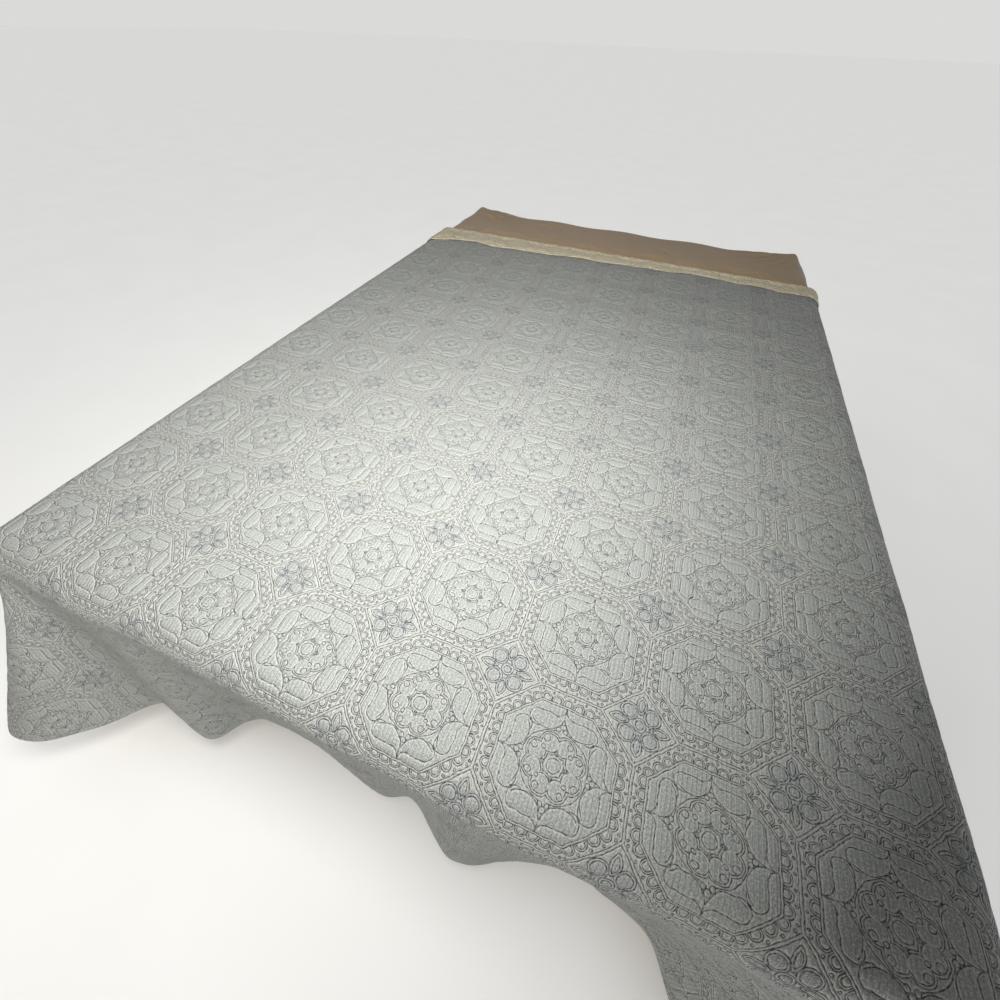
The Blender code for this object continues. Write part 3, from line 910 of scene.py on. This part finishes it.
def matelasse(name, colours, depth, line_width, puckers):
    """Matelasse: two cloths woven as one over a soft wadding weft, so that the figure's lines
    are drawn down into fine grooves and all between them puffs up. Matt, a little fuzzy. The
    noises' scales are to a metre of flat cloth."""
    material = bpy.data.materials.new(name)
    material.use_nodes = True
    tree = material.node_tree
    flat = node(tree, "UVMap", uv_map="flat cloth")
    push = node(tree, "TexNoise", {"Vector": flat, "Scale": 85.0, "Detail": 2.0}, "Color")
    push = node(tree, "VectorMath", (push, (0.5, 0.5, 0.5)), operation="SUBTRACT")
    place = node(tree, "VectorMath", (push, (WANDER, WANDER, 0.0), flat), operation="MULTIPLY_ADD")
    drawn = node(tree, "Group", node_tree=figure).node
    tree.links.new(place, drawn.inputs["Place"])
    groove, flower, net, border = drawn.outputs
    nearer = node(tree, "Math", (flower, -FLOWER_HEAVIER, 1.0), operation="MULTIPLY_ADD")
    near = node(tree, "Math", (groove, nearer), operation="MULTIPLY")
    line = node(tree, "MapRange", (near, LINE_CORE * line_width, line_width, 1.0, 0.0))
    # Height: the puff that rises from the groove, the ribs, the threads, the net that is drawn
    # down, and the puckers of a loose side, about 10 mm across.
    fall_off = node(tree, "Math", (groove, -1 / PUFF_RISES_OVER), operation="MULTIPLY")
    fall_off = node(tree, "Math", [fall_off], operation="EXPONENT")
    puff = node(tree, "Math", (1.0, fall_off), operation="SUBTRACT")
    height = node(tree, "Math", (puff, depth), operation="MULTIPLY")
    lighter = []  # what makes the ground paler, each with its share
    for scale, waviness, rise, share in RIBS:
        rib = node(
            tree, "TexWave",
            {"Vector": flat, "Scale": scale, "Distortion": waviness, "Detail": 2.0,
             "Detail Scale": 0.8},
            "Fac", wave_type="BANDS", bands_direction="X",
        )
        height = node(tree, "Math", (rib, rise, height), operation="MULTIPLY_ADD")
        # Painted highlight: the rib's raised crest is painted paler.
        lighter.append((rib, share))
    grain = node(
        tree, "TexNoise", {"Vector": flat, "Scale": 500.0, "Detail": 2.0, "Roughness": 0.8}
    )
    height = node(tree, "Math", (grain, THREAD_RISE, height), operation="MULTIPLY_ADD")
    height = node(tree, "Math", (net, -NET_SINKS, height), operation="MULTIPLY_ADD")
    pucker = node(
        tree, "TexNoise", {"Vector": flat, "Scale": 95.0, "Detail": 1.0, "Distortion": 0.8}
    )
    pucker = node(tree, "MapRange", (pucker, 0.36, 0.64, -1.0, 1.0))
    height = node(tree, "Math", (pucker, puckers, height), operation="MULTIPLY_ADD")
    bump = node(tree, "Bump", {"Strength": 1.0, "Distance": 1.0, "Height": height})
    # Colour: a cloudy, speckled ground, with painted highlight along the rims of the puffs, on the
    # crests of the ribs and on the raised puckers, and painted shade in the puckers' hollows; and
    # tinted threads in the grooves that dip in and out of the ground, their tint darkened with
    # painted shade.
    ground, rim_highlight_and_pale_tone, groove_thread_and_shade, flower_tint = (linear(colour) for colour in colours)
    cloud = node(tree, "TexNoise", {"Vector": flat, "Scale": 5.0, "Detail": 3.0})
    # Painted highlight along the rims of the puffs, beside the grooves.
    paler = node(tree, "MapRange", (groove, *RIM_HIGHLIGHT_WITHIN, *RIM_HIGHLIGHT_SHARES))
    # The puckers add painted highlight where they rise and painted shade where they sink.
    lighter += [(cloud, CLOUD_SHARE), (border, BORDER_SHARE), (pucker, PUCKER_HIGHLIGHT_AND_SHADE * puckers)]
    for part, share in lighter:
        paler = node(tree, "Math", (part, share, paler), operation="MULTIPLY_ADD")
    speckle = node(tree, "MapRange", (grain, 0.38, 0.62, *THREAD_SHARES))
    paler = node(tree, "Math", (paler, speckle), operation="ADD", use_clamp=True)
    base = node(tree, "Mix", {0: paler, 6: ground, 7: rim_highlight_and_pale_tone}, 2, data_type="RGBA")
    # In the grooves the tint is the thread's own colour darkened with painted shade.
    tint = node(tree, "Mix", {0: flower, 6: groove_thread_and_shade, 7: flower_tint}, 2, data_type="RGBA")
    dips = node(tree, "TexNoise", {"Vector": flat, "Scale": 300.0, "Detail": 0.0})
    shown = node(tree, "MapRange", (dips, 0.38, 0.60, 0.55, 1.0))
    shown = node(tree, "Math", (shown, line), operation="MULTIPLY")
    in_net = node(tree, "Math", (net, NET_TINT), operation="MULTIPLY")
    shown = node(tree, "Math", (shown, in_net), operation="MAXIMUM")
    colour = node(tree, "Mix", {0: shown, 6: base, 7: tint}, 2, data_type="RGBA")
    shader = tree.nodes["Principled BSDF"]
    tree.links.new(colour, shader.inputs["Base Color"])
    tree.links.new(bump, shader.inputs["Normal"])
    shader.inputs["Roughness"].default_value = 0.88
    shader.inputs["Specular IOR Level"].default_value = 0.2
    shader.inputs["Sheen Weight"].default_value = 0.12
    shader.inputs["Sheen Roughness"].default_value = 0.6
    return material


# Colours in order: the ground; the paler colour, which also paints the highlight on the puffs'
# rims;
# the grooves' threads, darkened with painted shade; and the flowers' threads.
# The face is taut. The reverse is its loose side, and is full of small puckers.
face_cloth = matelasse(
    "matelasse cotton face",
    colours=("#949B99", "#D1D3CF", "#343E44", "#3E4C5B"),
    depth=0.0024,
    line_width=0.86,
    puckers=0.00005,
)
reverse_cloth = matelasse(
    "matelasse cotton reverse",
    colours=("#FFEBC0", "#FFFBE4", "#BCA274", "#E8D6AE"),
    depth=0.0018,
    line_width=0.84,
    puckers=0.0013,
)
coverlet.data.materials.append(face_cloth)
coverlet.data.materials.append(reverse_cloth)
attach(coverlet, "root")
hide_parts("coverlet")

# ---------------------------------------------------------------------------------------
# The mattress, 0.28 m thick, in a fitted sheet of plain tan cotton. The sheet is stretched
# over it, so it creases towards the corners and its elastic hem gathers under the mattress.

MATTRESS_HALF = Vector((0.685, 0.9525, 0.140))
MATTRESS_MIDDLE_Z = 0.4403
MATTRESS_ROUND = Vector((0.060, 0.060, 0.048))  # of its corners in plan, and of its edges
ROUND_STEPS = 6
MATTRESS_STEPS = (170, 84, 14)
DRAWN = 0.30  # brings the steps along the bed nearer together towards the bare head end


def stations(half, rounded, count, drawn=1.0):
    """Places along one side of a block: close together where it is rounded. A drawn power
    under 1 brings the others nearer to the positive end."""
    corner = np.linspace(half - rounded, half, ROUND_STEPS + 1)
    share = np.linspace(0, 1, count + 1) ** drawn
    flat = -(half - rounded) + 2 * (half - rounded) * share
    return np.concatenate([-corner[:0:-1], flat, corner[1:]])


def soft_block(half, rounded, counts, drawn=1.0):
    """A closed block with rounded corners and edges: its points and its four-sided cells."""
    places = [
        stations(half[0], rounded[0], counts[0]),
        stations(half[1], rounded[1], counts[1], drawn),
        stations(half[2], rounded[2], counts[2]),
    ]
    numbers, where, cells_made = {}, [], []

    def number(index):
        if index not in numbers:
            numbers[index] = len(where)
            where.append([places[i][index[i]] for i in range(3)])
        return numbers[index]

    last = [len(p) - 1 for p in places]
    for axis in range(3):
        a, b = (axis + 1) % 3, (axis + 2) % 3
        for end in (0, last[axis]):
            for i in range(last[a]):
                for j in range(last[b]):
                    corners = []
                    for di, dj in ((0, 0), (1, 0), (1, 1), (0, 1)):
                        index = [0, 0, 0]
                        index[axis], index[a], index[b] = end, i + di, j + dj
                        corners.append(number(tuple(index)))
                    cells_made.append(corners if end else corners[::-1])
    where = np.array(where)
    inner = np.clip(where, -np.array(half - rounded), np.array(half - rounded))
    off = where - inner
    length = np.linalg.norm(off / np.array(rounded), axis=1, keepdims=True)
    return inner + off / np.maximum(length, 1e-9), cells_made


# The sheet shows from a little behind the turned coverlet to the head. All that follows
# grows from nothing over BARE_OVER, and over TOP_OVER from below the top's edge.
BARE_FROM, BARE_OVER = TURN_Y + 0.004, 0.07
TOP_FROM, TOP_OVER = 0.085, 0.05
# The crown: the bare end swells, most in its middle, and falls off towards the head and the
# sides.
CROWN = 0.013
CROWN_ENDS, CROWN_SIDES = 0.07, 0.12  # in shares of half its length, and of half its width
# Creases of the sheet from each head corner: which way each runs, in degrees from straight
# across, how long and how wide it is, and how high.
CREASES_FROM = (0.645, 0.925)
CREASE_SKEW = 4  # degrees, the other way at the other corner
CREASE_STARTS, CREASE_RISES = 0.01, 0.05  # how far before that place, and over how much
#    turned, length, half width, height
CREASES = (
    (6, 0.40, 0.009, 0.0070),
    (17, 0.52, 0.010, 0.0088),
    (29, 0.44, 0.009, 0.0076),
    (42, 0.36, 0.010, 0.0080),
    (57, 0.27, 0.010, 0.0058),
    (75, 0.18, 0.010, 0.0050),
)
SOFT_WAVES = 0.0022  # the height of long soft waves across the bare strip
# Gathers towards the elastic hem below: two uneven waves, which grow downwards from
# GATHERS_FROM, on the head side and on the two sides near it.
GATHERS_FROM, GATHERS_OVER = 0.07, 0.20
HEAD_FROM, HEAD_OVER = 0.90, 0.045
SIDE_FROM, SIDE_OVER = 0.655, 0.03
HEAD_BULGE = 0.0030  # of the head side, half way up
SIDE_DRAWN_IN = 0.0015

where, block_cells = soft_block(MATTRESS_HALF, MATTRESS_ROUND, MATTRESS_STEPS, DRAWN)
x, y, z = where.T
bare = smooth_step((y - BARE_FROM) / BARE_OVER)
shown = bare * smooth_step((z - TOP_FROM) / TOP_OVER)
crown = smooth_step((1 - y / MATTRESS_HALF.y) / CROWN_ENDS)
crown = crown * smooth_step((1 - np.abs(x) / MATTRESS_HALF.x) / CROWN_SIDES)
lift = CROWN * crown * shown * (0.85 + 0.15 * np.cos(2.2 * x))
for sign in (-1, 1):
    inwards, footwards = CREASES_FROM[0] - sign * x, CREASES_FROM[1] - y
    for turned, length, half_width, height in CREASES:
        angle = math.radians(turned + CREASE_SKEW * sign)
        run = inwards * math.cos(angle) + footwards * math.sin(angle)
        off = inwards * math.sin(angle) - footwards * math.cos(angle)
        fade = smooth_step((run + CREASE_STARTS) / CREASE_RISES)
        fade = fade * smooth_step((length - run) / length)
        lift += height * fade * shown * np.exp(-((off / half_width) ** 2))
lift += SOFT_WAVES * shown * np.sin(23 * x + 5 * np.sin(9 * y)) * np.sin(26 * y)
z = z + lift
below = smooth_step((GATHERS_FROM - z) / GATHERS_OVER)
gathers = 0.0050 * np.sin(74 * x + 2.0 * np.sin(11 * x)) + 0.0026 * np.sin(161 * x + 1.0)
bulge = HEAD_BULGE * np.cos(np.clip(z / MATTRESS_HALF.z, -1, 1) * math.pi / 2)
y = y + smooth_step((y - HEAD_FROM) / HEAD_OVER) * (below * gathers + bulge)
gathers = 0.0044 * np.sin(83 * y + 0.7) + 0.0022 * np.sin(171 * y)
out = smooth_step((np.abs(x) - SIDE_FROM) / SIDE_OVER) * bare
x = x + np.sign(x) * out * (below * gathers - SIDE_DRAWN_IN)
z = np.maximum(z, -MATTRESS_HALF.z)
data = bpy.data.meshes.new("mattress_in_sheet")
data.from_pydata(np.stack([x, y, z + MATTRESS_MIDDLE_Z], -1).tolist(), [], block_cells)
data.polygons.foreach_set("use_smooth", [True] * len(data.polygons))
mattress = bpy.data.objects.new("mattress_in_sheet", data)
bpy.context.collection.objects.link(mattress)


COTTON_THREAD_RISE = 0.00018
CLOUD_TINT, THREAD_TINT = 0.4, 0.7  # their shares in how pale a place is


def cotton(name, dark, light, threads, crease_depth):
    """Plain-woven cotton: matt, with a fine even grain of crossing threads, small soft
    creases from the wash and a slightly cloudy colour. The threads of a sheet are 0.4 mm
    apart, and those of upholstery 1 mm. They are drawn several times coarser, so that they
    show."""
    material = bpy.data.materials.new(name)
    material.use_nodes = True
    tree = material.node_tree
    place = node(tree, "TexCoord", output="Object")
    creases = node(
        tree, "TexNoise",
        {"Vector": place, "Scale": 9.0, "Detail": 5.0, "Roughness": 0.55, "Distortion": 0.8},
    )
    grain = node(
        tree, "TexNoise", {"Vector": place, "Scale": threads, "Detail": 2.0, "Roughness": 0.75}
    )
    height = node(tree, "Math", (creases, crease_depth), operation="MULTIPLY")
    height = node(tree, "Math", (grain, COTTON_THREAD_RISE, height), operation="MULTIPLY_ADD")
    bump = node(tree, "Bump", {"Strength": 1.0, "Distance": 1.0, "Height": height})
    cloud = node(tree, "TexNoise", {"Vector": place, "Scale": 4.0, "Detail": 3.0})
    mixed = node(tree, "Math", (cloud, CLOUD_TINT), operation="MULTIPLY")
    mixed = node(tree, "Math", (grain, THREAD_TINT, mixed), operation="MULTIPLY_ADD")
    colour = node(
        tree, "Mix", {0: mixed, 6: linear(dark), 7: linear(light)}, 2, data_type="RGBA"
    )
    shader = tree.nodes["Principled BSDF"]
    tree.links.new(colour, shader.inputs["Base Color"])
    tree.links.new(bump, shader.inputs["Normal"])
    shader.inputs["Roughness"].default_value = 0.9
    shader.inputs["Specular IOR Level"].default_value = 0.2
    shader.inputs["Sheen Weight"].default_value = 0.15
    shader.inputs["Sheen Roughness"].default_value = 0.6
    return material


percale = cotton("tan cotton percale", "#A28A6F", "#C3AB8E", threads=480.0, crease_depth=0.0180)
mattress.data.materials.append(percale)
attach(mattress, "root")
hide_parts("mattress")

# ---------------------------------------------------------------------------------------
# The bed base: a plain box, covered in woven upholstery that is drawn tight over its frame,
# with a sewn cord round its top edge. It stands flat on the floor.

BASE_SIZE = (1.340, 1.875, 0.300)
BASE_CORNER = 0.028  # radius in plan
CORNER_SEGMENTS = 8
BASE_EDGE = 0.008
CORD_RADIUS = 0.0042
CORD_Z = 0.284
SEAM_RADIUS = 0.0020
SEAM_LENGTH = CORD_Z - BASE_EDGE

bpy.ops.mesh.primitive_cube_add(size=1.0, location=(0, 0, BASE_SIZE[2] / 2))
base = bpy.context.object
base.name = "upholstered_base"
base.scale = BASE_SIZE
bpy.ops.object.transform_apply(location=True, rotation=False, scale=True)
bpy.ops.object.mode_set(mode="EDIT")
bpy.ops.mesh.select_all(action="DESELECT")
bpy.ops.object.mode_set(mode="OBJECT")
for side in base.data.edges:
    ends = [base.data.vertices[n].co for n in side.vertices]
    side.select = abs(ends[0].z - ends[1].z) > BASE_SIZE[2] / 2
bpy.ops.object.mode_set(mode="EDIT")
bpy.ops.mesh.select_mode(type="EDGE")
bpy.ops.mesh.bevel(offset=BASE_CORNER, segments=CORNER_SEGMENTS)
bpy.ops.object.mode_set(mode="OBJECT")
rounded = base.modifiers.new("soft edges", "BEVEL")
rounded.width = BASE_EDGE
rounded.segments = 4
rounded.limit_method = "ANGLE"
rounded.angle_limit = math.radians(50)
bpy.ops.object.modifier_apply(modifier=rounded.name)

# The cord round the top, and a thin seam down each corner.
bpy.ops.mesh.primitive_plane_add(size=1.0, location=(0, 0, CORD_Z))
cord = bpy.context.object
cord.scale = (BASE_SIZE[0], BASE_SIZE[1], 1.0)
bpy.ops.object.transform_apply(location=True, rotation=False, scale=True)
bpy.ops.object.mode_set(mode="EDIT")
bpy.ops.mesh.select_all(action="SELECT")
bpy.ops.mesh.bevel(offset=BASE_CORNER, segments=CORNER_SEGMENTS, affect="VERTICES")
bpy.ops.mesh.select_all(action="SELECT")
bpy.ops.mesh.delete(type="ONLY_FACE")
bpy.ops.object.mode_set(mode="OBJECT")
bpy.ops.object.convert(target="CURVE")
cord.data.bevel_depth = CORD_RADIUS
cord.data.bevel_resolution = 3
bpy.ops.object.convert(target="MESH")
bpy.ops.object.mode_set(mode="EDIT")
bpy.ops.mesh.select_all(action="SELECT")
bpy.ops.mesh.normals_make_consistent(inside=False)
bpy.ops.object.mode_set(mode="OBJECT")
seams = [cord]
IN_CORNER = BASE_CORNER * (1 - math.sqrt(0.5))  # from the sides to the middle of the rounding
for side_x in (-1, 1):
    for side_y in (-1, 1):
        bpy.ops.mesh.primitive_cylinder_add(
            vertices=10,
            radius=SEAM_RADIUS,
            depth=SEAM_LENGTH,
            location=(
                side_x * (BASE_SIZE[0] / 2 - IN_CORNER),
                side_y * (BASE_SIZE[1] / 2 - IN_CORNER),
                CORD_Z - SEAM_LENGTH / 2,
            ),
        )
        seams.append(bpy.context.object)
for part in seams:
    part.select_set(True)
base.select_set(True)
bpy.context.view_layer.objects.active = base
bpy.ops.object.join()
bpy.ops.object.transform_apply(location=True, rotation=True, scale=True)
bpy.ops.object.shade_smooth_by_angle(angle=math.radians(40))
base.select_set(False)
upholstery = cotton("woven upholstery", "#8F877A", "#BDB6A8", threads=230.0, crease_depth=0.0012)
base.data.materials.append(upholstery)
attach(base, "root")
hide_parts("bed_base")
